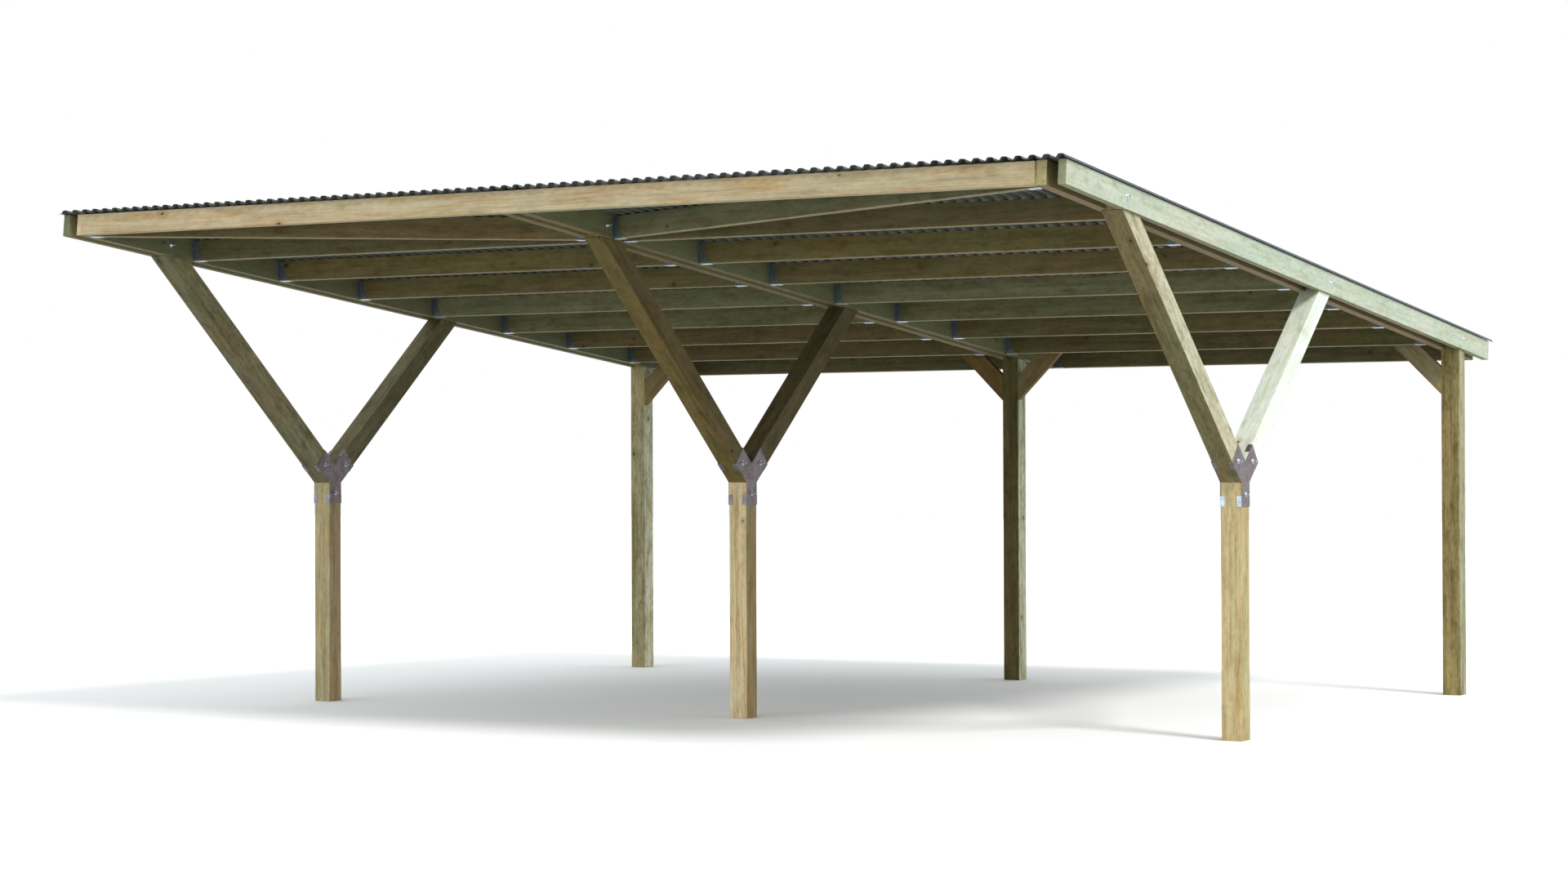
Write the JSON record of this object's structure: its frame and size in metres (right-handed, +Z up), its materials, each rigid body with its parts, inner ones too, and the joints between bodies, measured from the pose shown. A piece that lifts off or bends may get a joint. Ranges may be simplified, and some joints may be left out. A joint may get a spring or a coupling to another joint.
{
  "type": "carport",
  "caption": "Free-standing timber carport for two cars, with Y-shaped front posts, twin beams and a sloping corrugated steel roof",
  "frame": {"origin": "middle of the footprint at floor level", "axes": "X to the right along the open front, Y to the back, Z up; the roof falls to the back"},
  "size_m": [6.46, 6.813, 3.0217],
  "materials": {
    "post_timber": "pressure-treated pine, planed, weathered green-brown",
    "arm_timber": "pressure-treated pine, planed, greener than the posts",
    "beam_timber": "pressure-treated pine, planed, grey-green",
    "fascia_timber": "pressure-treated pine, planed, warm beige",
    "purlin_timber": "pressure-treated pine, planed, olive-brown",
    "brace_timber": "pressure-treated pine, planed, olive-brown",
    "bracket_steel": "dull grey coated steel",
    "hanger_steel": "galvanised sheet steel",
    "roof_steel": "dark anthracite coated sheet steel"
  },
  "bodies": {
    "root": {"beam_left_inner": "beam_timber", "beam_left_outer": "beam_timber", "beam_middle_left": "beam_timber", "beam_middle_right": "beam_timber", "beam_right_inner": "beam_timber", "beam_right_outer": "beam_timber", "front_arm_left": "arm_timber", "front_arm_middle": "arm_timber", "front_arm_right": "arm_timber", "front_fascia": "fascia_timber", "front_post_left": "post_timber", "front_post_middle": "post_timber", "front_post_right": "post_timber", "joist_hangers_left": "hanger_steel", "joist_hangers_middle": "hanger_steel", "joist_hangers_right": "hanger_steel", "knee_brace_left": "brace_timber", "knee_brace_middle_left": "brace_timber", "knee_brace_middle_right": "brace_timber", "knee_brace_right": "brace_timber", "purlin_row_1": "purlin_timber", "purlin_row_2": "purlin_timber", "purlin_row_3": "purlin_timber", "purlin_row_4": "purlin_timber", "purlin_row_5": "purlin_timber", "purlin_row_6": "purlin_timber", "purlin_row_7": "purlin_timber", "rear_arm_left": "arm_timber", "rear_arm_middle": "arm_timber", "rear_arm_right": "arm_timber", "rear_board": "purlin_timber", "rear_post_left": "post_timber", "rear_post_middle": "post_timber", "rear_post_right": "post_timber", "roof_sheet_1": "roof_steel", "roof_sheet_2": "roof_steel", "roof_sheet_3": "roof_steel", "roof_sheet_4": "roof_steel", "roof_sheet_5": "roof_steel", "roof_sheet_6": "roof_steel", "wind_brace_left": "brace_timber", "wind_brace_right": "brace_timber", "y_bracket_left": "bracket_steel", "y_bracket_middle": "bracket_steel", "y_bracket_right": "bracket_steel"}
  },
  "joints": []
}
